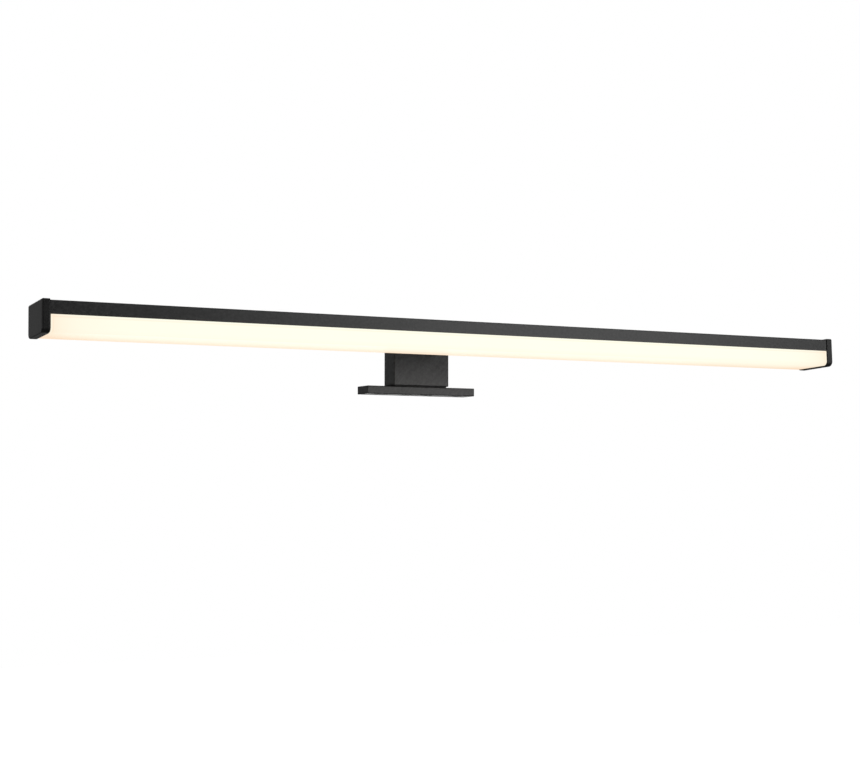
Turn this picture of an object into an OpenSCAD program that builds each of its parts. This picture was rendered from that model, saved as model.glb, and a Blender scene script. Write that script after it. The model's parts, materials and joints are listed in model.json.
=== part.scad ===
// Mirror light: a long LED bar carried by an arm in front of a small driver box on a foot plate.
// X runs along the bar, -Y is the front, +Z is up. The origin is the centre of the foot's underside.

/* [Bar] */
// Length of the bar over both end caps
bar_len = 600; // [400:10:900]
// Depth of the end caps, front to back
bar_depth = 35; // [34.6:0.1:42]
// Height of the end caps
bar_height = 20.8; // [20.6:0.1:24]
// Thickness of each end cap along the bar
cap_t = 5; // [3:0.5:8]
// How far the caps stand proud of the bar all round
cap_proud = 0.7; // [0.5:0.1:1.2]
// Wall thickness of the aluminium profile
wall = 1.4; // [1.2:0.1:1.6]
// Height of the dark front band above the diffuser
band_h = 8.5; // [8:0.1:9]
// Wall thickness of the diffuser
diffuser_t = 1.8; // [1.5:0.1:2]
// Outer radius of the diffuser's lower front edge
front_r = 3.2; // [2.6:0.1:4]
// Distance between neighbouring LEDs
led_pitch = 10; // [8:1:20]
// How far the bar is turned on its arm, front edge up, in degrees
bar_turn = 2.4; // [1:0.1:4]

/* [Arm] */
// Clear distance from the bar's end caps back to the box
arm_reach = 61; // [40:0.5:100]
// Width of the arm's beam
arm_w = 30; // [29:1:34]
// Height of the arm's beam
arm_h = 12; // [11:0.5:12]

/* [Box] */
// Width of the driver box
box_w = 44.4; // [44:0.2:60]
// Depth of the driver box
box_d = 16.6; // [16.6:0.2:24]
// Height of the driver box
box_h = 37.3; // [37:0.1:50]
// Wall thickness of the driver box
box_wall = 2; // [1.8:0.1:2.2]
// Radius of the hole for the mains cable
cable_r = 3.1; // [2.8:0.1:3.4]

/* [Foot] */
// Length of the foot plate
foot_w = 86.8; // [84:0.2:120]
// Depth of the foot plate
foot_d = 17.2; // [16:0.2:26]
// Thickness of the foot plate
foot_t = 5.8; // [5:0.1:8]
// Distance between the two mounting holes
hole_spacing = 66; // [62:1:72]
// Radius of the mounting holes
hole_r = 2.1; // [1.8:0.1:2.4]
// Thickness of the pad between foot and box
pad_t = 0.7; // [0.5:0.1:1.5]

/* [Hidden] */
$fn = 64;

fit_gap = 0.1; // clearance where one piece slides in another
edge_r = 0.6; // small radius on outer edges
tiny = 0.01; // how far joined shapes run into each other
past = 1; // how far cuts run past a face

// Levels from the ground up: foot, pad, box
box_z0 = foot_t + pad_t;
box_z1 = box_z0 + box_h;
box_y0 = -box_d / 2;
box_y1 = box_d / 2;

// The bar's section before the turn, with the end caps level with the top of the box:
// depth is measured back from its front face, height down from its top face
cap_front = box_y0 - arm_reach - bar_depth;
sec_front = cap_front + cap_proud;
sec_top = box_z1 - cap_proud;
sec_d = bar_depth - 2 * cap_proud;
sec_h = bar_height - 2 * cap_proud;
sec_back = sec_front + sec_d;
back_wall_h = sec_h - diffuser_t - fit_gap;
gasket_t = 0.4;
profile_half = bar_len / 2 - cap_t - gasket_t;

// Grooves and catches inside the profile
ledge_t = 1;
tray_t = 1.2;
tray_bottom = -band_h + ledge_t + fit_gap;
tray_top = tray_bottom + tray_t;
rib_h = 0.6;
rib_w = 1;
bead_w = 1.15;
bead_h = 1;
catch_gap = 0.15;
leg_inset = wall + catch_gap;

// Wiring chamber above the tray
chamber_mid = (tray_top - wall) / 2;
wire_z = sec_top + chamber_mid;
nut_w = 14;
nut_h = -wall - tray_top - 2 * fit_gap;
nut_t = 3;
rib_notch = 60;
lead_hole_r = 2;
band_edge_r = 0.3; // rounding of the band's lower front edge

// End caps: outline radii from the lower front corner round to the upper front corner
cap_radii = [front_r + cap_proud, 3.2, 1.4, 0.9];
cap_face_r = 0.9;
cap_inner_r = 0.4;
cap_steps = [30, 60, 90];
prong_len = 8;
prong_w = 5;
prong_inset = 2;
prong_gap = [0.9, 0.5]; // above the tray, below the top wall
locator_len = 3;
locator_w = 4;
locator_inset = [5, 7]; // from the front face, from the rear face
locator_gap = 0.2;
locator_top = -band_h - 2.8;
gasket_inset = [0.1, 1.8]; // outer and inner edge, in from the bar's outline

// LED boards
led_mid_y = sec_front + sec_d / 2;
board_w = 14;
board_t = 1;
board_start = 3.5;
board_len = profile_half - board_start - 3;
chip_l = 3.5;
chip_w = 2.8;
chip_h = 0.7;
chip_count = floor((board_len - 10) / led_pitch) + 1;
chip_start = board_start + (board_len - (chip_count - 1) * led_pitch) / 2;
board_top_z = sec_top + tray_bottom;
board_bottom_z = board_top_z - board_t;
screw_slots = [0, floor((chip_count - 1) / 2), chip_count - 2];
board_screw_len = 2.6;
connector_size = [13, 8, 2.4];
neck_size = [6, 6];

// Fasteners: shank radius, head radius, head height
M2 = [1, 1.8, 1.2];
M25 = [1.25, 2.2, 0.9];
M3 = [1.5, 2.8, 1.8];
M4 = [2, 3.8, 2.5];
thread_gap = 0.05;
clear_gap = 0.2;
head_gap = 0.3;

// Arm: a flange on the bar and a hollow beam back to the box
arm_gasket_t = 0.8;
flange_y0 = sec_back + arm_gasket_t;
flange_t = 3;
flange_y1 = flange_y0 + flange_t;
flange_w = 54;
flange_h = 15;
flange_top = sec_top - 0.3;
flange_r = 2;
flange_screw_x = 21;
flange_screw_len = 8.6;
gasket_margin = 0.8;
gasket_hole_r = 3;
arm_r = 1.5;
arm_z1 = sec_top - 0.5;
arm_z0 = arm_z1 - arm_h;
arm_screw_x = 11;
arm_screw_z = arm_z0 + arm_h / 2;
arm_screw_len = 10;
washer_r = 3;
washer_t = 0.5;
channel_w = 14;
channel_z0 = arm_z1 - 8.5;
channel_z1 = arm_z1 - 1.5;
haunch = 6;
beam_y0 = flange_y1 - flange_t / 2;
grommet_body_r = 1.95;
grommet_inner_r = 2.25;
grommet_outer_r = 2.9;
grommet_lip = 0.6;

// Leads from the driver to the LED boards
lead_r = 0.6;
lead_x = 0.65;
lead_bend = 1.4;
lead_curve = 20; // radius of the slight bend where the leads leave the flange
lead_curve_y = lead_curve * tan(bar_turn / 2);
lead_lap = 1; // degrees by which the bend runs into the straight lengths

// Box interior, cover and bosses
box_r = 0.8;
wire_hole_r = 2;
in_x = box_w / 2 - box_wall;
in_z0 = box_z0 + box_wall;
in_z1 = box_z1 - box_wall;
in_y0 = box_y0 + box_wall;
rim = box_wall / 2;
cover_t = 1.6;
cover_y1 = box_y1 - 0.1;
cover_y0 = cover_y1 - cover_t;
ledge_y = cover_y0 - gasket_t;
boss_r = 2.4;
boss_x = in_x - boss_r;
boss_z = [in_z0 + boss_r, in_z1 - boss_r];
boss_hole = 9;
cover_r = 0.5;
cover_screw_len = 8;
cover_sink = 1;
cover_sink_r = M25[1] + clear_gap;

// Driver board and the components on its rear face
pcb_t = 1;
pcb_y0 = in_y0 + 3.1;
pcb_y1 = pcb_y0 + pcb_t;
pcb_x = in_x - 0.6;
pcb_z0 = in_z0 + 5;
pcb_z1 = in_z1 - 0.5;
pcb_notch_x = boss_x - boss_r - 0.3;
pcb_notch_z = boss_z[1] - boss_r - 0.3;
pcb_notch = [10, 4, 20];
pcb_screw_len = 3.9;
pillar_r = 1.9;
pillars = [[-in_x + 2.8, pcb_z0 + 3.8], [in_x - 2.8, pcb_z1 - 8]];
capacitor_r = 3.15;
capacitor_len = 11;
capacitor_at = [[-10.3, pcb_z0 + 10.8], [11.5, pcb_z1 - 11.6]];
core_size = [11.5, 8, 11.5];
core_at = [-6, pcb_z0 + 11.3];
core_limb = 2.4;
core_pole_r = 1.2;
film_size = [8.5, 7, 4];
film_at = [7.5, pcb_z0 + 10.8];
inductor_r = 2.3;
inductor_h = 5.5;
inductor_rim = [0.6, 1.2]; // how far it stands out, and its height
inductor_at = [-16.4, pcb_z0 + 13.3];
bridge_size = [4.2, 2.5, 3.8];
bridge_at = [-18.4, pcb_z0 + 17.8];
chip_size = [5, 1.6, 3.8];
chip_at = [-9.4, pcb_z1 - 4.4];
fuse_r = 1.3;
fuse_len = 8;
fuse_cap_len = 1.6;
fuse_cap_step = 0.1;
fuse_at = [15.9, pcb_z0 + 1.3];
terminal_size = [14, 7.8, 8.8];
terminal_at = [-1.5, pcb_z0 + 0.4];
terminal_pole = 4.2;
entry_r = 1.3;
entry_depth = 7;
entry_above_board = 2.6;
clamp_r = 1.6;
clamp_depth = [0.6, 2.4]; // top and bottom of the clamp screw, down from the block's face
clamp_slot = [0.5, 0.6]; // width and depth

// Cable bushing in the rear cover
bushing_x = -9;
bushing_z = pcb_z0 + 4.3;
bushing_wall = 1.1;
bushing_lip = 1.6;
bushing_lip_w = 1.2;
bushing_tail = 2;
bushing_barb = 0.5;

// Foot
foot_screw_x = 9;
foot_sink = M4[2] + 0.4;
foot_boss_r = 3.4;
foot_boss_top = in_z0 + 4.2;
foot_hole_cone = 2;
pad_inset = 1.1;
pad_r = 1;

// ---- Drawing helpers ----

// A rectangle with its own radius at each corner: lower left, lower right, upper right, upper left
module rounded_rect(w, h, r) {
    polygon([
        [r[0], 0], [w - r[1], 0], [w, r[1]], [w, h - r[2]],
        [w - r[2], h], [r[3], h], [0, h - r[3]], [0, r[0]]
    ]);
    translate([r[0], r[0]]) circle(r[0]);
    translate([w - r[1], r[1]]) circle(r[1]);
    translate([w - r[2], h - r[2]]) circle(r[2]);
    translate([r[3], h - r[3]]) circle(r[3]);
}

// A rectangle centred on X, from z0 to z1, with one radius
module centred_rect(w, z0, z1, r) {
    translate([-w / 2, z0]) rounded_rect(w, z1 - z0, [r, r, r, r]);
}

// A rectangle given by its limits
module span(x0, x1, y0, y1) {
    translate([x0, y0]) square([x1 - x0, y1 - y0]);
}

// Extrusions: children are drawn in YZ, XZ and XY
module along_x(x0, x1) {
    translate([x0, 0, 0]) rotate([90, 0, 90]) linear_extrude(x1 - x0) children();
}

module along_y(y0, y1) {
    translate([0, y1, 0]) rotate([90, 0, 0]) linear_extrude(y1 - y0) children();
}

module along_z(z0, z1) {
    translate([0, 0, z0]) linear_extrude(z1 - z0) children();
}

module block(x0, x1, y0, y1, z0, z1) {
    translate([x0, y0, z0]) cube([x1 - x0, y1 - y0, z1 - z0]);
}

module rod_y(x, z, r, y0, y1) {
    translate([x, y1, z]) rotate([90, 0, 0]) cylinder(h = y1 - y0, r = r);
}

module rod_z(x, y, r, z0, z1) {
    translate([x, y, z0]) cylinder(h = z1 - z0, r = r);
}

// A block with every edge rounded
module soft_block(x0, x1, y0, y1, z0, z1, r) {
    radii = [r, r, r, r];
    intersection() {
        along_z(z0, z1) translate([x0, y0]) rounded_rect(x1 - x0, y1 - y0, radii);
        along_y(y0, y1) translate([x0, z0]) rounded_rect(x1 - x0, z1 - z0, radii);
        along_x(x0, x1) translate([y0, z0]) rounded_rect(y1 - y0, z1 - z0, radii);
    }
}

// A cross-head screw along Z, with its head above Z = 0
module screw(size, shank_len) {
    head_r = size[1];
    head_h = size[2];
    slot_w = head_r * 0.26;
    slot_l = head_r * 1.1;
    difference() {
        union() {
            translate([0, 0, -shank_len]) cylinder(h = shank_len + head_h / 2, r = size[0]);
            cylinder(h = head_h * 0.6, r = head_r);
            translate([0, 0, head_h * 0.6]) cylinder(h = head_h * 0.4, r1 = head_r, r2 = head_r * 0.72);
        }
        for (turn = [0, 90])
            rotate([0, 0, turn])
                translate([-slot_l / 2, -slot_w / 2, head_h * 0.45]) cube([slot_l, slot_w, head_h]);
    }
}

// A screw whose head faces +Y, or -Z, with its head seated at the point
module screw_to_rear(at, size, shank_len) {
    translate(at) rotate([-90, 0, 0]) screw(size, shank_len);
}

module screw_to_floor(at, size, shank_len) {
    translate(at) rotate([180, 0, 0]) screw(size, shank_len);
}

// ---- The bar ----

// Turns the bar about the point where its leads leave the flange
module turned() {
    translate([0, flange_y1, wire_z]) rotate([-bar_turn, 0, 0])
        translate([0, -flange_y1, -wire_z]) children();
}

// Where a point of the section [y, z] comes to lie after the turn
function after_turn(y, z) = [
    flange_y1 + (y - flange_y1) * cos(bar_turn) + (z - wire_z) * sin(bar_turn),
    wire_z - (y - flange_y1) * sin(bar_turn) + (z - wire_z) * cos(bar_turn)
];

// Draws in the bar's own section: X back from the front face, Y up from the top face
module in_section() {
    translate([sec_front, sec_top]) children();
}

// The outline of the bar's section, inset all round
module bar_outline(inset) {
    in_section() translate([inset, inset - sec_h])
        rounded_rect(sec_d - 2 * inset, sec_h - 2 * inset,
            [front_r - inset, 0.5, 0.5, 0.5]);
}

// Ledge and hook that hold the tray above and one edge of the diffuser below
module catch(leg) {
    hook_in = leg + diffuser_t + bead_w + catch_gap;
    hook_bottom = -band_h - 2.2;
    span(wall - fit_gap, hook_in + ledge_t, -band_h, -band_h + ledge_t);
    span(hook_in, hook_in + ledge_t, hook_bottom, -band_h + tiny);
    span(leg + diffuser_t + catch_gap, hook_in + tiny, hook_bottom, hook_bottom + 1);
    span(wall - fit_gap, wall + rib_w, tray_top + fit_gap, tray_top + fit_gap + rib_h);
}

module profile_section() {
    in_section() {
        difference() {
            translate([0, -back_wall_h])
                rounded_rect(sec_d, back_wall_h, [0.2, 0.3, edge_r, edge_r]);
            span(wall, sec_d - wall, -sec_h, -wall);
            span(-past, wall + tiny, -sec_h, -band_h);
            translate([0, -band_h]) difference() {
                translate([-past, -past]) square(past + band_edge_r);
                translate([band_edge_r, band_edge_r]) circle(band_edge_r);
            }
        }
        catch(0);
        translate([sec_d, 0]) mirror([1, 0]) catch(leg_inset);
    }
}

module bar_profile() {
    color([0.09, 0.09, 0.1]) turned() difference() {
        along_x(-profile_half, profile_half) profile_section();
        rod_y(0, wire_z, lead_hole_r, sec_back - wall - past, sec_back + past);
        for (side = [-1, 1])
            rod_y(side * flange_screw_x, wire_z, M3[0] + clear_gap,
                sec_back - wall - past, sec_back + past);
        // The rear rib is cut away where the nut plates sit
        block(-rib_notch / 2, rib_notch / 2, sec_back - wall - rib_w - past, sec_back - wall,
            sec_top + tray_top, sec_top - wall);
    }
}

module diffuser_section() {
    top = -band_h - fit_gap;
    inner_r = front_r - diffuser_t;
    rear_leg = sec_d - leg_inset;
    in_section() {
        difference() {
            translate([0, -sec_h]) rounded_rect(sec_d, sec_h + top, [front_r, 0.8, 0.2, 0.2]);
            translate([diffuser_t, diffuser_t - sec_h])
                rounded_rect(rear_leg - 2 * diffuser_t, sec_h, [inner_r, 0.6, 0.6, 0.6]);
            span(rear_leg, sec_d + past, diffuser_t - sec_h, top + past);
        }
        span(diffuser_t - tiny, diffuser_t + bead_w, top - bead_h, top);
        span(rear_leg - diffuser_t - bead_w, rear_leg - diffuser_t + tiny, top - bead_h, top);
    }
}

module diffuser() {
    color([1, 0.96, 0.86]) turned() along_x(-profile_half, profile_half) diffuser_section();
}

// One end cap, drawn for the right-hand end
module end_cap() {
    inner_x = bar_len / 2 - cap_t;
    body_x = inner_x + cap_inner_r;
    face_x = bar_len / 2 - cap_face_r;
    module slice(inset, x0, x1) {
        along_x(x0, x1) translate([cap_front + inset, box_z1 - bar_height + inset])
            rounded_rect(bar_depth - 2 * inset, bar_height - 2 * inset,
                [for (r = cap_radii) max(r - inset, 0.05)]);
    }
    hull() {
        slice(0, body_x, face_x);
        for (turn = cap_steps) {
            slice(cap_face_r * (1 - cos(turn)), face_x - tiny, face_x + cap_face_r * sin(turn));
            slice(cap_inner_r * (1 - cos(turn)), body_x - cap_inner_r * sin(turn), body_x + tiny);
        }
    }
    // Prongs in the wiring chamber and locators inside the diffuser
    along_x(inner_x - prong_len, inner_x + past) in_section()
        for (y = [prong_inset, sec_d - prong_inset - prong_w])
            span(y, y + prong_w, tray_top + prong_gap[0], -wall - prong_gap[1]);
    along_x(inner_x - locator_len, inner_x + past) in_section()
        for (y = [locator_inset[0], sec_d - locator_inset[1] - locator_w])
            span(y, y + locator_w, locator_gap + diffuser_t - sec_h, locator_top);
}

module end_cap_right() {
    color([0.07, 0.07, 0.08]) turned() end_cap();
}

module end_cap_left() {
    color([0.07, 0.07, 0.08]) turned() mirror([1, 0, 0]) end_cap();
}

module end_gasket() {
    along_x(profile_half, profile_half + gasket_t) difference() {
        bar_outline(gasket_inset[0]);
        bar_outline(gasket_inset[1]);
    }
}

module end_gasket_right() {
    color([0.2, 0.2, 0.2]) turned() end_gasket();
}

module end_gasket_left() {
    color([0.2, 0.2, 0.2]) turned() mirror([1, 0, 0]) end_gasket();
}

// ---- LED tray and boards ----

function board_screw_x(slot) = chip_start + (slot + 0.5) * led_pitch;

module gear_tray() {
    edge = wall + catch_gap;
    color([0.93, 0.93, 0.92]) turned() difference() {
        along_x(-profile_half + 1, profile_half - 1)
            in_section() span(edge, sec_d - edge, tray_bottom, tray_top);
        rod_z(0, led_mid_y, lead_hole_r, board_top_z - past, board_top_z + tray_t + past);
        for (side = [-1, 1], slot = screw_slots)
            rod_z(side * board_screw_x(slot), led_mid_y, M2[0] + thread_gap,
                board_top_z - past, board_top_z + tray_t + past);
    }
}

module led_board() {
    difference() {
        block(board_start, board_start + board_len, led_mid_y - board_w / 2, led_mid_y + board_w / 2,
            board_bottom_z, board_top_z);
        for (slot = screw_slots)
            rod_z(board_screw_x(slot), led_mid_y, M2[0] + clear_gap,
                board_bottom_z - past, board_top_z + past);
    }
}

module led_board_right() {
    color([0.95, 0.95, 0.93]) turned() led_board();
}

module led_board_left() {
    color([0.95, 0.95, 0.93]) turned() mirror([1, 0, 0]) led_board();
}

module led_chips() {
    for (i = [0 : chip_count - 1])
        translate([chip_start + i * led_pitch, led_mid_y, board_bottom_z - chip_h / 2])
            cube([chip_l, chip_w, chip_h], center = true);
}

module led_chips_right() {
    color([1, 0.85, 0.4]) turned() led_chips();
}

module led_chips_left() {
    color([1, 0.85, 0.4]) turned() mirror([1, 0, 0]) led_chips();
}

module board_screws() {
    color([0.75, 0.75, 0.77]) turned()
        for (side = [-1, 1], slot = screw_slots)
            screw_to_floor([side * board_screw_x(slot), led_mid_y, board_bottom_z], M2, board_screw_len);
}

// Bridges the two boards from below; its neck stands up between them to meet the leads
module joint_connector() {
    bottom_z = board_bottom_z - connector_size[2];
    color([0.9, 0.9, 0.86]) turned() translate([0, led_mid_y]) {
        along_z(bottom_z, board_bottom_z) square([connector_size[0], connector_size[1]], center = true);
        along_z(board_bottom_z - tiny, board_top_z) square(neck_size, center = true);
    }
}

module lead() {
    bend_y = led_mid_y + lead_bend;
    turned() {
        rod_z(0, led_mid_y, lead_r, board_top_z, wire_z - lead_bend);
        translate([0, bend_y, wire_z - lead_bend]) rotate([90, 0, 90]) rotate([0, 0, 90])
            rotate_extrude(angle = 90) translate([lead_bend, 0]) circle(lead_r);
        rod_y(0, wire_z, lead_r, bend_y, flange_y1 - lead_curve_y);
    }
    translate([0, flange_y1 + lead_curve_y, wire_z + lead_curve]) rotate([90, 0, 90])
        rotate([0, 0, -90 - bar_turn - lead_lap]) rotate_extrude(angle = bar_turn + 2 * lead_lap)
            translate([lead_curve, 0]) circle(lead_r - tiny);
    rod_y(0, wire_z, lead_r, flange_y1 + lead_curve_y, pcb_y0);
}

module lead_positive() {
    color([0.75, 0.1, 0.08]) translate([-lead_x, 0, 0]) lead();
}

module lead_negative() {
    color([0.1, 0.1, 0.1]) translate([lead_x, 0, 0]) lead();
}

module wire_grommet() {
    y0 = sec_back - wall - grommet_lip;
    y1 = sec_back + grommet_lip;
    color([0.15, 0.15, 0.15]) turned() difference() {
        union() {
            rod_y(0, wire_z, grommet_body_r, y0, y1);
            rod_y(0, wire_z, grommet_inner_r, y0, sec_back - wall);
            rod_y(0, wire_z, grommet_outer_r, sec_back, y1);
        }
        rod_y(0, wire_z, lead_x + lead_r + thread_gap, y0 - past, y1 + past);
    }
}

// ---- The arm ----

module nut_plates() {
    nut_y1 = sec_back - wall;
    color([0.7, 0.7, 0.72]) turned()
        for (side = [-1, 1])
            difference() {
                translate([side * flange_screw_x - nut_w / 2, nut_y1 - nut_t, wire_z - nut_h / 2])
                    cube([nut_w, nut_t, nut_h]);
                rod_y(side * flange_screw_x, wire_z, M3[0] + thread_gap,
                    nut_y1 - nut_t - past, nut_y1 + past);
            }
}

module arm() {
    root = after_turn(flange_y1, flange_top - flange_h + edge_r);
    color([0.09, 0.09, 0.1]) difference() {
        union() {
            turned() along_y(flange_y0, flange_y1)
                centred_rect(flange_w, flange_top - flange_h, flange_top, flange_r);
            along_y(beam_y0, box_y0) centred_rect(arm_w, arm_z0, arm_z1, arm_r);
            // Haunch below the beam's root
            along_x(-arm_w / 2 + arm_r, arm_w / 2 - arm_r)
                polygon([
                    [beam_y0, arm_z0 + tiny], [beam_y0, root[1]],
                    root, [flange_y1 + haunch, arm_z0 + tiny]
                ]);
        }
        along_x(-channel_w / 2, channel_w / 2)
            polygon([
                after_turn(flange_y0 - past, channel_z0), [flange_y1, channel_z0],
                [box_y0 + past, channel_z0], [box_y0 + past, channel_z1],
                [flange_y1, channel_z1], after_turn(flange_y0 - past, channel_z1)
            ]);
        turned()
            for (side = [-1, 1])
                rod_y(side * flange_screw_x, wire_z, M3[0] + clear_gap,
                    flange_y0 - past, flange_y1 + past);
        for (side = [-1, 1])
            rod_y(side * arm_screw_x, arm_screw_z, M3[0] + thread_gap,
                box_y0 - arm_screw_len, box_y0 + past);
    }
}

module arm_gasket() {
    color([0.16, 0.16, 0.16]) turned() along_y(sec_back, flange_y0) difference() {
        centred_rect(flange_w - 2 * gasket_margin, flange_top - flange_h + gasket_margin,
            flange_top - gasket_margin, flange_r - edge_r);
        translate([0, wire_z]) circle(gasket_hole_r);
        for (side = [-1, 1])
            translate([side * flange_screw_x, wire_z]) circle(M3[0] + clear_gap);
    }
}

module flange_screws() {
    color([0.12, 0.12, 0.12]) turned()
        for (side = [-1, 1])
            screw_to_rear([side * flange_screw_x, flange_y1, wire_z], M3, flange_screw_len);
}

module arm_screws() {
    color([0.75, 0.75, 0.77])
        for (side = [-1, 1])
            screw_to_rear([side * arm_screw_x, in_y0 + washer_t, arm_screw_z], M3, arm_screw_len);
}

module arm_washers() {
    color([0.8, 0.8, 0.82])
        for (side = [-1, 1])
            difference() {
                rod_y(side * arm_screw_x, arm_screw_z, washer_r, in_y0, in_y0 + washer_t);
                rod_y(side * arm_screw_x, arm_screw_z, M3[0] + clear_gap, in_y0 - past, in_y0 + past);
            }
}

// ---- The driver box ----

// A boss for a cover screw, joined to the walls of its corner; level is 0 at the floor, 1 at the top
module corner_boss(side, level) {
    z = boss_z[level];
    x0 = side > 0 ? boss_x : -in_x - tiny;
    z0 = level > 0 ? z : in_z0 - tiny;
    rod_y(side * boss_x, z, boss_r, in_y0 - tiny, ledge_y);
    block(x0, x0 + boss_r + tiny, in_y0 - tiny, ledge_y, z0, z0 + boss_r + tiny);
}

module box_housing() {
    color([0.09, 0.09, 0.1]) difference() {
        union() {
            difference() {
                soft_block(-box_w / 2, box_w / 2, box_y0, box_y1, box_z0, box_z1, box_r);
                block(-in_x, in_x, in_y0, box_y1 + past, in_z0, in_z1);
                block(rim - box_w / 2, box_w / 2 - rim, ledge_y, box_y1 + past, box_z0 + rim, box_z1 - rim);
            }
            for (side = [-1, 1], level = [0, 1])
                corner_boss(side, level);
            for (at = pillars)
                rod_y(at[0], at[1], pillar_r, in_y0 - tiny, pcb_y0);
            for (side = [-1, 1])
                rod_z(side * foot_screw_x, 0, foot_boss_r, in_z0 - tiny, foot_boss_top);
        }
        for (side = [-1, 1], z = boss_z)
            rod_y(side * boss_x, z, M25[0] + thread_gap, ledge_y - boss_hole, ledge_y + past);
        for (at = pillars)
            rod_y(at[0], at[1], M2[0] + thread_gap, in_y0 - past, pcb_y0 + past);
        for (side = [-1, 1]) {
            rod_z(side * foot_screw_x, 0, M4[0] + thread_gap, box_z0 - past, foot_boss_top + past);
            rod_y(side * arm_screw_x, arm_screw_z, M3[0] + clear_gap, box_y0 - past, in_y0 + past);
        }
        rod_y(0, wire_z, wire_hole_r, box_y0 - past, in_y0 + past);
    }
}

module cover_outline(inset, r) {
    centred_rect(box_w - 2 * inset, box_z0 + inset, box_z1 - inset, r);
}

module rear_cover() {
    color([0.1, 0.1, 0.11]) difference() {
        along_y(cover_y0, cover_y1) cover_outline(rim + catch_gap, cover_r);
        rod_y(bushing_x, bushing_z, cable_r + bushing_wall + fit_gap, cover_y0 - past, cover_y1 + past);
        for (side = [-1, 1], z = boss_z) {
            rod_y(side * boss_x, z, M25[0] + clear_gap, cover_y0 - past, cover_y1 + past);
            rod_y(side * boss_x, z, cover_sink_r, cover_y1 - cover_sink, cover_y1 + past);
        }
    }
}

module cover_gasket() {
    color([0.35, 0.35, 0.35]) along_y(ledge_y, cover_y0) difference() {
        cover_outline(rim + catch_gap, cover_r);
        cover_outline(box_wall - fit_gap, cover_r);
    }
}

module cover_screws() {
    color([0.12, 0.12, 0.12])
        for (side = [-1, 1], z = boss_z)
            screw_to_rear([side * boss_x, cover_y1 - cover_sink, z], M25, cover_screw_len);
}

module cable_bushing() {
    body_r = cable_r + bushing_wall;
    color([0.06, 0.06, 0.06]) difference() {
        union() {
            rod_y(bushing_x, bushing_z, body_r, cover_y0 - bushing_tail, cover_y1 + bushing_lip);
            rod_y(bushing_x, bushing_z, body_r + bushing_barb, cover_y0 - bushing_tail, cover_y0);
            rod_y(bushing_x, bushing_z, body_r + bushing_lip_w, cover_y1, cover_y1 + bushing_lip);
        }
        rod_y(bushing_x, bushing_z, cable_r, cover_y0 - bushing_tail - past, cover_y1 + bushing_lip + past);
    }
}

// ---- The driver ----

// A component on the board's rear face, with its lower left corner at [x, z]
module on_board(at, size) {
    translate([at[0], pcb_y1, at[1]]) cube(size);
}

module driver_board() {
    color([0.1, 0.35, 0.16]) difference() {
        block(-pcb_x, pcb_x, pcb_y0, pcb_y1, pcb_z0, pcb_z1);
        for (side = [-1, 1])
            translate([side > 0 ? pcb_notch_x : -pcb_notch_x - pcb_notch[0], pcb_y0 - past, pcb_notch_z])
                cube(pcb_notch);
        for (at = pillars)
            rod_y(at[0], at[1], M2[0] + clear_gap, pcb_y0 - past, pcb_y1 + past);
    }
}

module driver_board_screws() {
    color([0.75, 0.75, 0.77])
        for (at = pillars)
            screw_to_rear([at[0], pcb_y1, at[1]], M2, pcb_screw_len);
}

// Two E-shaped halves: top, bottom, two outer limbs and a round centre limb
module transformer_core() {
    w = core_size[0];
    d = core_size[1];
    h = core_size[2];
    color([0.25, 0.25, 0.27]) translate([core_at[0], pcb_y1, core_at[1]]) {
        difference() {
            cube([w, d, h]);
            translate([core_limb, -past, core_limb])
                cube([w - 2 * core_limb, d + 2 * past, h - 2 * core_limb]);
        }
        translate([w / 2, d / 2, core_limb - tiny])
            cylinder(h = h - 2 * core_limb + 2 * tiny, r = core_pole_r);
    }
}

module transformer_coil() {
    w = core_size[0];
    d = core_size[1];
    h = core_size[2];
    color([0.85, 0.7, 0.2]) translate([core_at[0] + w / 2, pcb_y1 + d / 2, core_at[1] + core_limb])
        difference() {
            cylinder(h = h - 2 * core_limb, r = w / 2 - core_limb - fit_gap);
            translate([0, 0, -past]) cylinder(h = h, r = core_pole_r + fit_gap);
        }
}

module smoothing_capacitors() {
    color([0.12, 0.14, 0.3])
        for (at = capacitor_at)
            rod_z(at[0], pcb_y1 + capacitor_r, capacitor_r, at[1], at[1] + capacitor_len);
}

module mains_capacitor() {
    color([0.75, 0.6, 0.15]) on_board(film_at, film_size);
}

module drum_inductor() {
    y1 = pcb_y1 + inductor_h;
    color([0.3, 0.3, 0.32]) {
        rod_y(inductor_at[0], inductor_at[1], inductor_r - inductor_rim[0], pcb_y1, y1);
        rod_y(inductor_at[0], inductor_at[1], inductor_r, pcb_y1, pcb_y1 + inductor_rim[1]);
        rod_y(inductor_at[0], inductor_at[1], inductor_r, y1 - inductor_rim[1], y1);
    }
}

module rectifier() {
    color([0.1, 0.1, 0.1]) on_board(bridge_at, bridge_size);
}

module control_chip() {
    color([0.1, 0.1, 0.1]) on_board(chip_at, chip_size);
}

module fuse() {
    color([0.8, 0.78, 0.7]) {
        rod_z(fuse_at[0], pcb_y1 + fuse_r, fuse_r - fuse_cap_step, fuse_at[1], fuse_at[1] + fuse_len);
        for (z = [fuse_at[1], fuse_at[1] + fuse_len - fuse_cap_len])
            rod_z(fuse_at[0], pcb_y1 + fuse_r, fuse_r, z, z + fuse_cap_len);
    }
}

// Two-pole block: cable cores enter from its left side, screws face the rear
function pole_z(pole) = terminal_at[1] + terminal_size[2] / 2 + pole * terminal_pole / 2;

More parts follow.
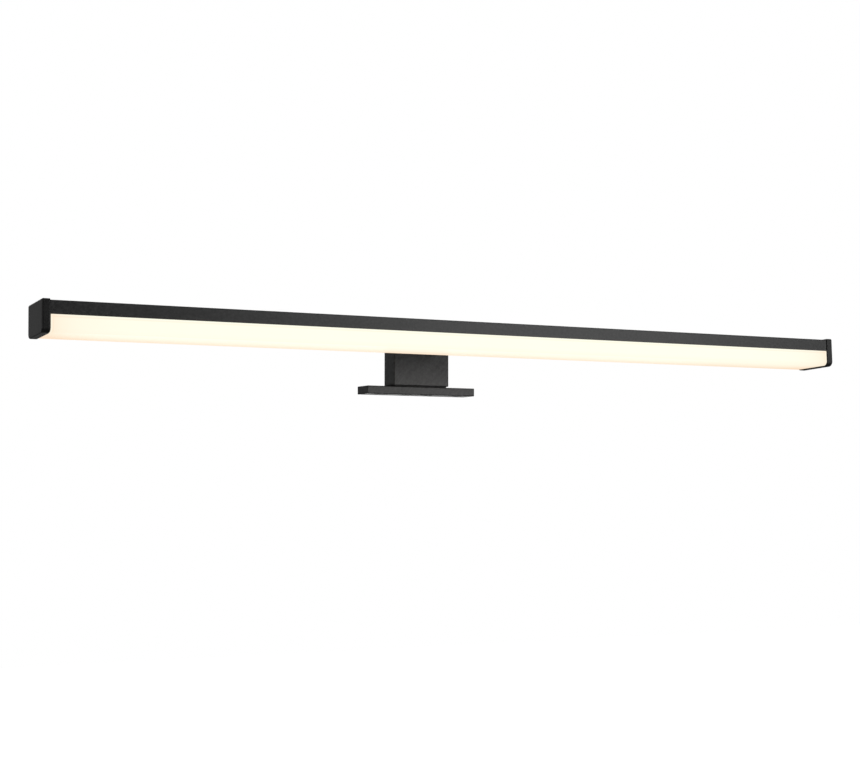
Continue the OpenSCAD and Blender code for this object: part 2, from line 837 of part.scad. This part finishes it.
module terminal_block() {
    x_mid = terminal_at[0] + terminal_size[0] / 2;
    y1 = pcb_y1 + terminal_size[1];
    color([0.2, 0.45, 0.3]) difference() {
        on_board(terminal_at, terminal_size);
        for (pole = [-1, 1]) {
            translate([terminal_at[0] - past, pcb_y1 + entry_above_board, pole_z(pole)]) rotate([0, 90, 0])
                cylinder(h = entry_depth + past, r = entry_r);
            rod_y(x_mid, pole_z(pole), clamp_r + fit_gap, y1 - clamp_depth[1], y1 + past);
        }
    }
}

module terminal_screws() {
    x_mid = terminal_at[0] + terminal_size[0] / 2;
    y1 = pcb_y1 + terminal_size[1];
    color([0.8, 0.8, 0.82])
        for (pole = [-1, 1])
            difference() {
                rod_y(x_mid, pole_z(pole), clamp_r, y1 - clamp_depth[1], y1 - clamp_depth[0]);
                translate([x_mid, y1 - clamp_depth[0], pole_z(pole)])
                    cube([2 * (clamp_r + past), 2 * clamp_slot[1], clamp_slot[0]], center = true);
            }
}

// ---- The foot ----

module foot_plate() {
    color([0.09, 0.09, 0.1]) difference() {
        soft_block(-foot_w / 2, foot_w / 2, -foot_d / 2, foot_d / 2, 0, foot_t, edge_r);
        for (side = [-1, 1]) {
            rod_z(side * hole_spacing / 2, 0, hole_r, -past, foot_t + past);
            translate([side * hole_spacing / 2, 0, foot_t - foot_hole_cone])
                cylinder(h = foot_hole_cone + tiny, r1 = hole_r, r2 = hole_r + foot_hole_cone);
            rod_z(side * foot_screw_x, 0, M4[0] + clear_gap, -past, foot_t + past);
            rod_z(side * foot_screw_x, 0, M4[1] + head_gap, -past, foot_sink);
        }
    }
}

module foot_pad() {
    color([0.04, 0.04, 0.04]) along_z(foot_t, box_z0) difference() {
        translate([pad_inset - box_w / 2, pad_inset - box_d / 2])
            rounded_rect(box_w - 2 * pad_inset, box_d - 2 * pad_inset, [pad_r, pad_r, pad_r, pad_r]);
        for (side = [-1, 1])
            translate([side * foot_screw_x, 0]) circle(M4[0] + clear_gap);
    }
}

module foot_screws() {
    color([0.75, 0.75, 0.77])
        for (side = [-1, 1])
            screw_to_floor([side * foot_screw_x, 0, foot_sink], M4, foot_boss_top - foot_sink - 0.5);
}

bar_profile();
diffuser();
end_cap_left();
end_cap_right();
end_gasket_left();
end_gasket_right();
gear_tray();
led_board_left();
led_board_right();
led_chips_left();
led_chips_right();
board_screws();
joint_connector();
nut_plates();
arm();
arm_gasket();
flange_screws();
wire_grommet();
lead_positive();
lead_negative();
box_housing();
arm_screws();
arm_washers();
rear_cover();
cover_gasket();
cover_screws();
cable_bushing();
driver_board();
driver_board_screws();
transformer_core();
transformer_coil();
smoothing_capacitors();
mains_capacitor();
drum_inductor();
rectifier();
control_chip();
fuse();
terminal_block();
terminal_screws();
foot_plate();
foot_pad();
foot_screws();
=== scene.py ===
import json
import math

import bpy
from mathutils import Matrix, Vector


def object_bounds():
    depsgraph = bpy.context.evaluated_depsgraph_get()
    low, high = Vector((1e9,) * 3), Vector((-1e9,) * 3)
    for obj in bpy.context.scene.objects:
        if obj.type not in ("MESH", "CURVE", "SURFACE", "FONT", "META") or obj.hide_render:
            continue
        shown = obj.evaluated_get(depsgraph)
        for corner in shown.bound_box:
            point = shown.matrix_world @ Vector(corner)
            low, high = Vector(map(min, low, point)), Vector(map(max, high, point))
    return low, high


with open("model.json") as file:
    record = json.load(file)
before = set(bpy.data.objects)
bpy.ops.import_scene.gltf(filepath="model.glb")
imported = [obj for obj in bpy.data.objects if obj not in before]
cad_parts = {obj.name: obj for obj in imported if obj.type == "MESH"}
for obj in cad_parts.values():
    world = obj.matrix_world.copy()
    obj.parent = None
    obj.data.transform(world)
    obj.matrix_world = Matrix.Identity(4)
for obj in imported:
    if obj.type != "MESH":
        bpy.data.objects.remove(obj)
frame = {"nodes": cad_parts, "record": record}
cad_low, cad_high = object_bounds()
nodes = frame["nodes"]
record = frame["record"]

MM = 0.001

# The bar's turn about X on its arm, in degrees: its front edge is the higher one
BAR_TURN = 2.4

# The range that a noise texture's values mostly keep to
NOISE_LOW = 0.3
NOISE_HIGH = 0.7

# Length of one band of a wave texture at scale 1
WAVE_LENGTH = math.pi / 10


def section_box(name):
    """Limits of a node of the bar in the bar's own section, before its turn about X."""
    upright = Matrix.Rotation(math.radians(BAR_TURN), 4, "X")
    points = [upright @ v.co for v in nodes[name].data.vertices]
    low = Vector([min(p[i] for p in points) for i in range(3)])
    high = Vector([max(p[i] for p in points) for i in range(3)])
    return low, high


# ---- Material kit: every pattern is in object space, so it stays on the object in all views ----

class Look:
    """A Principled material and the nodes that drive it. Sizes are in metres."""

    def __init__(self, name, **values):
        self.material = bpy.data.materials.new(name)
        self.material.use_nodes = True
        self.tree = self.material.node_tree
        self.shader = self.tree.nodes["Principled BSDF"]
        self.where = self.node("ShaderNodeTexCoord").outputs["Object"]
        for socket, value in values.items():
            self.shader.inputs[socket.replace("_", " ")].default_value = value

    def node(self, kind, **settings):
        made = self.tree.nodes.new(kind)
        for name, value in settings.items():
            setattr(made, name, value)
        return made

    def join(self, source, target):
        self.tree.links.new(source, target)

    def drive(self, socket, source):
        self.join(source, self.shader.inputs[socket])

    def stretched(self, size):
        """Object coordinates divided by a size along each axis."""
        mapping = self.node("ShaderNodeMapping")
        self.join(self.where, mapping.inputs["Vector"])
        mapping.inputs["Scale"].default_value = [1 / s for s in size]
        return mapping.outputs["Vector"]

    def turned(self, size, turn):
        """As stretched, after a turn given in degrees about each axis."""
        mapping = self.node("ShaderNodeMapping")
        self.join(self.where, mapping.inputs["Vector"])
        mapping.inputs["Rotation"].default_value = [math.radians(a) for a in turn]
        scale = self.node("ShaderNodeVectorMath", operation="MULTIPLY")
        self.join(mapping.outputs["Vector"], scale.inputs[0])
        scale.inputs[1].default_value = [1 / s for s in size]
        return scale.outputs["Vector"]

    def noise(self, size, detail=2.0, roughness=0.5, where=None):
        """Noise in object space, or in stretched or turned coordinates with a size of 1."""
        made = self.node("ShaderNodeTexNoise")
        self.join(where or self.where, made.inputs["Vector"])
        made.inputs["Scale"].default_value = 1 / size
        made.inputs["Detail"].default_value = detail
        made.inputs["Roughness"].default_value = roughness
        return made.outputs["Fac"]

    def cells(self, size):
        made = self.node("ShaderNodeTexVoronoi", feature="F1")
        self.join(self.where, made.inputs["Vector"])
        made.inputs["Scale"].default_value = 1 / size
        return made.outputs["Distance"]

    def waves(self, size, axis):
        made = self.node("ShaderNodeTexWave", bands_direction=axis, wave_profile="SIN")
        self.join(self.where, made.inputs["Vector"])
        made.inputs["Scale"].default_value = WAVE_LENGTH / size
        return made.outputs["Fac"]

    def coordinates(self, where=None):
        split = self.node("ShaderNodeSeparateXYZ")
        self.join(where or self.where, split.inputs["Vector"])
        return split.outputs

    def math(self, operation, a, b=None, clamp=False):
        made = self.node("ShaderNodeMath", operation=operation, use_clamp=clamp)
        for socket, value in zip(made.inputs, (a, b)):
            if value is None:
                continue
            if isinstance(value, (int, float)):
                socket.default_value = value
            else:
                self.join(value, socket)
        return made.outputs["Value"]

    def span(self, source, low, high, to_low=0.0, to_high=1.0, smooth=False):
        """Maps low to high onto to_low to to_high, and keeps to those limits."""
        made = self.node("ShaderNodeMapRange", clamp=True)
        made.interpolation_type = "SMOOTHSTEP" if smooth else "LINEAR"
        self.join(source, made.inputs["Value"])
        for socket, value in zip(made.inputs[1:5], (low, high, to_low, to_high)):
            socket.default_value = value
        return made.outputs["Result"]

    def spread(self, noise, to_low=0.0, to_high=1.0):
        """As span, from the range that noise keeps to."""
        return self.span(noise, NOISE_LOW, NOISE_HIGH, to_low, to_high)

    def weighted(self, first, first_share, second, second_share):
        """The sum of two values, each times its share."""
        first_part = self.math("MULTIPLY", first, first_share)
        second_part = self.math("MULTIPLY", second, second_share)
        return self.math("ADD", first_part, second_part)

    def mix(self, share, a, b):
        made = self.node("ShaderNodeMix", data_type="RGBA")
        factor, first, second = made.inputs[0], made.inputs[6], made.inputs[7]
        self.join(share, factor)
        for socket, value in ((first, a), (second, b)):
            if isinstance(value, (tuple, list)):
                socket.default_value = (*value, 1.0)
            else:
                self.join(value, socket)
        return made.outputs[2]

    def bump(self, height, distance, strength=1.0, under=None):
        made = self.node("ShaderNodeBump")
        self.join(height, made.inputs["Height"])
        made.inputs["Distance"].default_value = distance
        made.inputs["Strength"].default_value = strength
        if under is not None:
            self.join(under, made.inputs["Normal"])
        return made.outputs["Normal"]


def grey(level, warm=0.0):
    return (level * (1 + warm), level, level * (1 - warm))


# Powder coat: sizes and heights of its grain (sand), dimples (speck), orange peel and clouding
SAND_SIZE = 0.42 * MM
SAND_HEIGHT = 0.022 * MM
SPECK_SIZE = 0.6 * MM
SPECK_REACH = 0.55
SPECK_HEIGHT = 0.012 * MM
SPECK_STRENGTH = 0.7
PEEL_HEIGHT = 0.04 * MM
PEEL_STRENGTH = 0.8
CLOUD_SIZE = 14 * MM
CLOUD_TONE = 0.030
CLOUD_SHARE = 0.35

# Shares of sand and peel in the coat's tone, and how far each moves its roughness
SAND_SHARE = 0.35
PEEL_SHARE = 0.65
SAND_ROUGHNESS = 0.16
PEEL_ROUGHNESS = 0.14

# Spray marks: long soft streaks, leaning from lower left to upper right
STREAK_SIZE = (1.1 * MM, 9 * MM, 16 * MM)
STREAK_LEAN = (0, -42, 0)
STREAK_SHARE = 0.3


def powder_coat(name, dark, pale, mottle, rough, streaked):
    """Matt black powder coat: sand-like grain over a slow orange peel, with faint clouding."""
    look = Look(name, Specular_IOR_Level=0.5)
    grain = look.noise(SAND_SIZE, 3, 0.6)
    speck = look.cells(SPECK_SIZE)
    peel = look.noise(mottle, 2)
    cloud = look.noise(CLOUD_SIZE, 3, 0.6)
    tone = look.weighted(grain, SAND_SHARE, peel, PEEL_SHARE)
    if streaked:
        streak = look.noise(1, 2, 0.5, look.turned(STREAK_SIZE, STREAK_LEAN))
        tone = look.weighted(tone, 1 - STREAK_SHARE, streak, STREAK_SHARE)
    base = look.mix(look.span(tone, 0.38, 0.62), grey(dark), grey(pale))
    clouded = look.span(cloud, 0.35, 0.65, 0.0, CLOUD_SHARE)
    look.drive("Base Color", look.mix(clouded, base, grey(CLOUD_TONE)))
    uneven = look.weighted(peel, PEEL_ROUGHNESS, grain, SAND_ROUGHNESS)
    usual = (PEEL_ROUGHNESS + SAND_ROUGHNESS) / 2
    look.drive("Roughness", look.math("ADD", uneven, rough - usual))
    sand = look.bump(grain, SAND_HEIGHT)
    dimple = look.span(speck, 0.0, SPECK_REACH, 1.0, 0.0, True)
    dots = look.bump(dimple, SPECK_HEIGHT, SPECK_STRENGTH, sand)
    look.drive("Normal", look.bump(peel, PEEL_HEIGHT, PEEL_STRENGTH, dots))
    return look


def cap_plastic():
    """Moulded black plastic with a fine spark-eroded grain."""
    look = Look("cap_plastic", Specular_IOR_Level=0.36)
    grain = look.noise(0.24 * MM, 3, 0.65)
    drift = look.noise(5 * MM, 2)
    look.drive("Base Color", look.mix(look.span(drift, 0.35, 0.65), grey(0.010), grey(0.019)))
    look.drive("Roughness", look.spread(grain, 0.29, 0.41))
    fine = look.bump(grain, 0.012 * MM)
    look.drive("Normal", look.bump(drift, 0.03 * MM, 0.6, fine))
    return look


# Opal cover: its light over the LEDs and where it is warmest
OPAL_PALE = (1.0, 0.985, 0.825)
OPAL_WARM = (0.955, 0.745, 0.555)
OPAL_GLOW = 0.99

# How fast the warmth dies away from the ends, in two parts, and each part's share
END_NEAR = 9 * MM
END_NEAR_SHARE = 0.36
END_FAR = 32 * MM
END_FAR_SHARE = 0.26

# How the warmth grows towards the rear, and under the black band
REAR_CURVE = 1.8
BAND_SHADE = 0.22
BAND_SHADE_START = 2.2 * MM
BAND_SHADE_END = 0.8 * MM

# A thin warmer line of painted shadow, as if the inner hooks shaded the glowing cover at its top edge and
# ends, with a paler rim outside it
HOOK_SHADOW_INSET = 1.5 * MM
HOOK_SHADOW_WARMTH = 0.16
HOOK_SHADOW_CORE = 0.1 * MM
HOOK_SHADOW_REACH = 0.6 * MM
RIM_WARMTH = -0.25
RIM_INNER = 0.5 * MM
RIM_OUTER = 1.2 * MM

PATCH_SIZE = 35 * MM
PATCH_WARMTH = 0.02
HAZE_SIZE = 0.8 * MM
HAZE_HEIGHT = 0.004 * MM
HAZE_STRENGTH = 0.5


def opal():
    """Opal cover, lit from inside: paler over the LEDs, warmer to its ends, top edge and rear."""
    look = Look("opal", Roughness=0.4, Specular_IOR_Level=0.2)
    low, high = section_box("diffuser")
    section = look.coordinates(look.turned((1, 1, 1), (BAR_TURN, 0, 0)))
    from_end = look.math("SUBTRACT", high.x, look.math("ABSOLUTE", section["X"]))
    near = look.math("EXPONENT", look.math("MULTIPLY", from_end, -1 / END_NEAR))
    far = look.math("EXPONENT", look.math("MULTIPLY", from_end, -1 / END_FAR))
    ends = look.weighted(near, END_NEAR_SHARE, far, END_FAR_SHARE)
    behind = look.math("POWER", look.span(section["Y"], low.y, high.y), REAR_CURVE)
    shade_low = high.z - BAND_SHADE_START
    shade_high = high.z - BAND_SHADE_END
    under_band = look.span(section["Z"], shade_low, shade_high, 0.0, BAND_SHADE, True)
    patch = look.spread(look.noise(PATCH_SIZE, 2), -PATCH_WARMTH, PATCH_WARMTH)
    from_top = look.math("SUBTRACT", high.z, section["Z"])
    from_rim = look.math("MINIMUM", from_end, from_top)
    # Painted shadow of the inner hooks: a thin warmer line at a set inset from the top edge and the ends
    off_hook_shadow = look.math("ABSOLUTE", look.math("SUBTRACT", from_rim, HOOK_SHADOW_INSET))
    hook_shadow = look.span(off_hook_shadow, HOOK_SHADOW_CORE, HOOK_SHADOW_REACH, HOOK_SHADOW_WARMTH, 0.0, True)
    rim = look.span(from_rim, RIM_INNER, RIM_OUTER, RIM_WARMTH, 0.0, True)
    edges = look.math("ADD", look.math("ADD", hook_shadow, rim), look.math("ADD", under_band, patch))
    warmth = look.math("ADD", look.math("ADD", ends, behind), edges, True)
    look.drive("Emission Color", look.mix(warmth, OPAL_PALE, OPAL_WARM))
    look.shader.inputs["Emission Strength"].default_value = OPAL_GLOW
    haze = look.noise(HAZE_SIZE, 2)
    unlit = look.mix(look.spread(haze), (0.09, 0.088, 0.08), (0.11, 0.107, 0.1))
    look.drive("Base Color", unlit)
    look.drive("Normal", look.bump(haze, HAZE_HEIGHT, HAZE_STRENGTH))
    return look


def seal_rubber():
    look = Look("seal_rubber", Specular_IOR_Level=0.3)
    grain = look.noise(0.3 * MM, 3)
    look.drive("Base Color", look.mix(look.span(grain, 0.35, 0.65), grey(0.026), grey(0.044)))
    look.drive("Roughness", look.spread(grain, 0.55, 0.75))
    look.drive("Normal", look.bump(grain, 0.02 * MM))
    return look


def moulded(name, dark, light, rough, grain_size=0.3 * MM):
    """Plain moulded plastic: a slow drift in tone and a fine grain."""
    look = Look(name)
    drift = look.noise(6 * MM, 2)
    grain = look.noise(grain_size, 3)
    look.drive("Base Color", look.mix(look.spread(drift), dark, light))
    look.drive("Roughness", look.spread(grain, rough - 0.06, rough + 0.08))
    look.drive("Normal", look.bump(grain, 0.008 * MM))
    return look


def white_coat():
    look = Look("white_coat")
    peel = look.noise(1.8 * MM, 2)
    look.drive("Base Color", look.mix(look.spread(peel), grey(0.76), grey(0.84)))
    look.drive("Roughness", look.spread(peel, 0.32, 0.45))
    look.drive("Normal", look.bump(peel, 0.02 * MM))
    return look


def solder_mask(name, mask, track, pitch):
    """Solder mask over copper tracks, which show through as slightly raised, paler lines."""
    look = Look(name, Roughness=0.35)
    tracks = look.span(look.waves(pitch, "Z"), 0.78, 0.86)
    rows = look.span(look.waves(pitch * 2.4, "X"), 0.84, 0.9)
    raised = look.math("MAXIMUM", tracks, look.math("MULTIPLY", rows, 0.6))
    grain = look.noise(0.5 * MM, 2)
    plain = look.mix(look.spread(grain), mask, [c * 1.15 for c in mask])
    look.drive("Base Color", look.mix(raised, plain, track))
    look.drive("Roughness", look.spread(grain, 0.28, 0.42))
    look.drive("Normal", look.bump(raised, 0.035 * MM))
    return look


def phosphor():
    look = Look("phosphor", Roughness=0.3)
    grain = look.noise(0.15 * MM, 3)
    colour = look.mix(look.spread(grain), (0.85, 0.55, 0.10), (0.98, 0.74, 0.22))
    look.drive("Base Color", colour)
    look.drive("Emission Color", look.mix(look.span(grain, 0.2, 0.8), (1, 0.78, 0.42), (1, 0.88, 0.6)))
    look.shader.inputs["Emission Strength"].default_value = 1.5
    look.drive("Normal", look.bump(grain, 0.006 * MM))
    return look


def metal(name, dark, light, rough):
    """Plated metal with fine turning marks and a mottled plating."""
    look = Look(name, Metallic=1.0)
    mottle = look.noise(1.2 * MM, 3)
    marks = look.noise(1, 2, 0.5, look.stretched((0.9 * MM, 0.9 * MM, 0.05 * MM)))
    look.drive("Base Color", look.mix(look.spread(mottle), dark, light))
    look.drive("Roughness", look.spread(mottle, rough - 0.08, rough + 0.1))
    look.drive("Normal", look.bump(marks, 0.006 * MM, 0.6))
    return look


def winding():
    """Yellow tape over a winding, with the wire's turns showing through as ridges."""
    look = Look("winding", Roughness=0.3)
    turns = look.waves(0.4 * MM, "Z")
    stain = look.noise(2.5 * MM, 2)
    colour = look.mix(look.spread(stain), (0.62, 0.36, 0.03), (0.78, 0.52, 0.08))
    look.drive("Base Color", look.mix(look.span(turns, 0.0, 0.25, 0.45, 0.0), colour, (0.28, 0.12, 0.02)))
    look.drive("Roughness", look.span(turns, 0, 1, 0.4, 0.25))
    look.drive("Normal", look.bump(turns, 0.06 * MM))
    return look


# One look for each material slot in the record. A number is a tone, a roughness or a size in MM
LOOKS = {
    "black_coat": lambda: powder_coat("cast_coat", 0.004, 0.070, 2.8 * MM, 0.38, True),
    "cap_plastic": cap_plastic,
    "opal": opal,
    "seal_rubber": seal_rubber,
    "black_plastic": lambda: moulded("black_plastic", grey(0.012), grey(0.02), 0.42),
    "white_coat": white_coat,
    "white_board": lambda: solder_mask("white_board", grey(0.78), grey(0.88, 0.02), 3.2 * MM),
    "led_yellow": phosphor,
    "plain_steel": lambda: metal("plain_steel", grey(0.5), grey(0.68, 0.02), 0.32),
    "black_steel": lambda: metal("black_steel", grey(0.02), grey(0.05), 0.42),
    "white_plastic": lambda: moulded("white_plastic", grey(0.72, 0.02), grey(0.82, 0.02), 0.4),
    "red_wire": lambda: moulded("red_wire", (0.42, 0.02, 0.012), (0.55, 0.03, 0.02), 0.35),
    "black_wire": lambda: moulded("black_wire", grey(0.012), grey(0.022), 0.35),
    "green_board": lambda: solder_mask("green_board", (0.015, 0.13, 0.045), (0.03, 0.24, 0.08), 2.3 * MM),
    "ferrite": lambda: moulded("ferrite", grey(0.035), grey(0.07), 0.6, 0.2 * MM),
    "winding": winding,
    "capacitor_sleeve": lambda: moulded("capacitor_sleeve", (0.01, 0.016, 0.07), (0.016, 0.026, 0.1), 0.25),
    "film_plastic": lambda: moulded("film_plastic", (0.5, 0.3, 0.03), (0.62, 0.4, 0.05), 0.3),
    "chip_plastic": lambda: moulded("chip_plastic", grey(0.012), grey(0.022), 0.5),
    "ceramic": lambda: moulded("ceramic", (0.66, 0.62, 0.52), (0.76, 0.72, 0.62), 0.22),
    "green_plastic": lambda: moulded("green_plastic", (0.02, 0.19, 0.07), (0.03, 0.26, 0.09), 0.38),
}

looks = {m["slot"]: LOOKS[m["slot"]]() for m in record["materials"]}


def dress(piece, look):
    piece.data.materials.clear()
    piece.data.materials.append(look.material)


for part in record["subparts"]:
    dress(nodes[part["node"]], looks[part["material_slot"]])

# The extrusion's coat is more even than that of the cast pieces
extrusion_coat = powder_coat("extrusion_coat", 0.010, 0.030, 2.2 * MM, 0.38, False)
dress(nodes["bar_profile"], extrusion_coat)


# ---- Studio ----

FLOOR_DROP = 1.5
FLOOR_SIZE = 24.0
FLOOR_TONE = 0.8
WORLD_LIGHT = 0.075
BACKDROP_LIGHT = 1.0
WHITE = (1, 1, 1, 1)

centre = (cad_low + cad_high) / 2


def make_floor():
    """A plain pale floor, far enough below to be clear of every view."""
    mesh = bpy.data.meshes.new("floor")
    half = FLOOR_SIZE / 2
    outline = ((-half, -half), (half, -half), (half, half), (-half, half))
    mesh.from_pydata([(x, y, -FLOOR_DROP) for x, y in outline], [], [(0, 1, 2, 3)])
    floor = bpy.data.objects.new("floor", mesh)
    bpy.context.scene.collection.objects.link(floor)
    material = bpy.data.materials.new("pale_floor")
    material.use_nodes = True
    shader = material.node_tree.nodes["Principled BSDF"]
    shader.inputs["Base Color"].default_value = (*grey(FLOOR_TONE), 1)
    shader.inputs["Emission Color"].default_value = WHITE
    shader.inputs["Emission Strength"].default_value = BACKDROP_LIGHT
    mesh.materials.append(material)
    floor.visible_diffuse = False
    floor.visible_glossy = False
    floor.visible_shadow = False


def make_world():
    """White as the backdrop, and a dim even light on the object."""
    world = bpy.data.worlds.new("studio")
    world.use_nodes = True
    tree = world.node_tree
    tree.nodes.clear()
    out = tree.nodes.new("ShaderNodeOutputWorld")
    blend = tree.nodes.new("ShaderNodeMixShader")
    path = tree.nodes.new("ShaderNodeLightPath")
    fill = tree.nodes.new("ShaderNodeBackground")
    backdrop = tree.nodes.new("ShaderNodeBackground")
    fill.inputs["Strength"].default_value = WORLD_LIGHT
    backdrop.inputs["Strength"].default_value = BACKDROP_LIGHT
    fill.inputs["Color"].default_value = WHITE
    backdrop.inputs["Color"].default_value = WHITE
    tree.links.new(path.outputs["Is Camera Ray"], blend.inputs["Fac"])
    tree.links.new(fill.outputs["Background"], blend.inputs[1])
    tree.links.new(backdrop.outputs["Background"], blend.inputs[2])
    tree.links.new(blend.outputs["Shader"], out.inputs["Surface"])
    bpy.context.scene.world = world


def softbox(name, place, width, height, brightness):
    """A rectangular soft light that faces the object, with the given radiance."""
    data = bpy.data.lights.new(name, "AREA")
    data.shape = "RECTANGLE"
    data.size = width
    data.size_y = height
    data.energy = brightness * math.pi * width * height
    light = bpy.data.objects.new(name, data)
    light.location = place
    light.rotation_euler = (centre - Vector(place)).to_track_quat("-Z", "Y").to_euler()
    light.visible_camera = False
    bpy.context.scene.collection.objects.link(light)


make_floor()
make_world()

# Name, place, width, height and brightness. The rear_right, top_right, below_rear and rear_left_top
# lights are for the sides that the camera below doesn't see
softbox("key_front_right", (1.05, -1.75, -0.05), 0.9, 1.8, 2.9)
softbox("left", (-1.8, -0.25, 0.1), 1.3, 1.0, 0.6)
softbox("rear_right", (0.9, 1.9, 0.5), 1.3, 1.5, 3.2)
softbox("top_right", (0.7, 0.6, 1.9), 1.3, 1.3, 2.4)
softbox("below_rear", (0.2, 1.3, -0.95), 1.2, 1.0, 0.22)
softbox("front_left", (-1.7, -1.6, 0.2), 1.0, 1.4, 0.5)
softbox("rear_left", (-0.6, 2.2, 0.3), 0.8, 1.4, 0.2)
softbox("rear_left_top", (-1.3, 0.9, 1.4), 1.2, 1.2, 1.0)


# ---- Camera, at the photo's viewing angle ----

# Metres, degrees and millimetres. Yaw is from +Y towards +X, and pitch is upwards
CAMERA_PLACE = (-0.5362, -1.0696, -0.0653)
CAMERA_YAW = 27.098
CAMERA_PITCH = 3.42
CAMERA_ROLL = 0.025
CAMERA_LENS = 68.76
CAMERA_SENSOR = 36.0
CAMERA_NEAR = 0.05
CAMERA_FAR = 60


def make_camera():
    yaw, pitch, roll = (math.radians(a) for a in (CAMERA_YAW, CAMERA_PITCH, CAMERA_ROLL))
    ahead = Vector((
        math.sin(yaw) * math.cos(pitch),
        math.cos(yaw) * math.cos(pitch),
        math.sin(pitch),
    ))
    right = ahead.cross(Vector((0, 0, 1))).normalized()
    up = right.cross(ahead)
    side = math.cos(roll) * right + math.sin(roll) * up
    top = math.cos(roll) * up - math.sin(roll) * right
    data = bpy.data.cameras.new("camera")
    data.lens = CAMERA_LENS
    data.sensor_width = CAMERA_SENSOR
    data.clip_start = CAMERA_NEAR
    data.clip_end = CAMERA_FAR
    camera = bpy.data.objects.new("camera", data)
    turn = Matrix((side, top, -ahead)).transposed()
    camera.matrix_world = Matrix.Translation(CAMERA_PLACE) @ turn.to_4x4()
    bpy.context.scene.collection.objects.link(camera)
    bpy.context.scene.camera = camera


make_camera()
bpy.context.scene.view_settings.view_transform = "Standard"
bpy.context.scene.view_settings.look = "None"
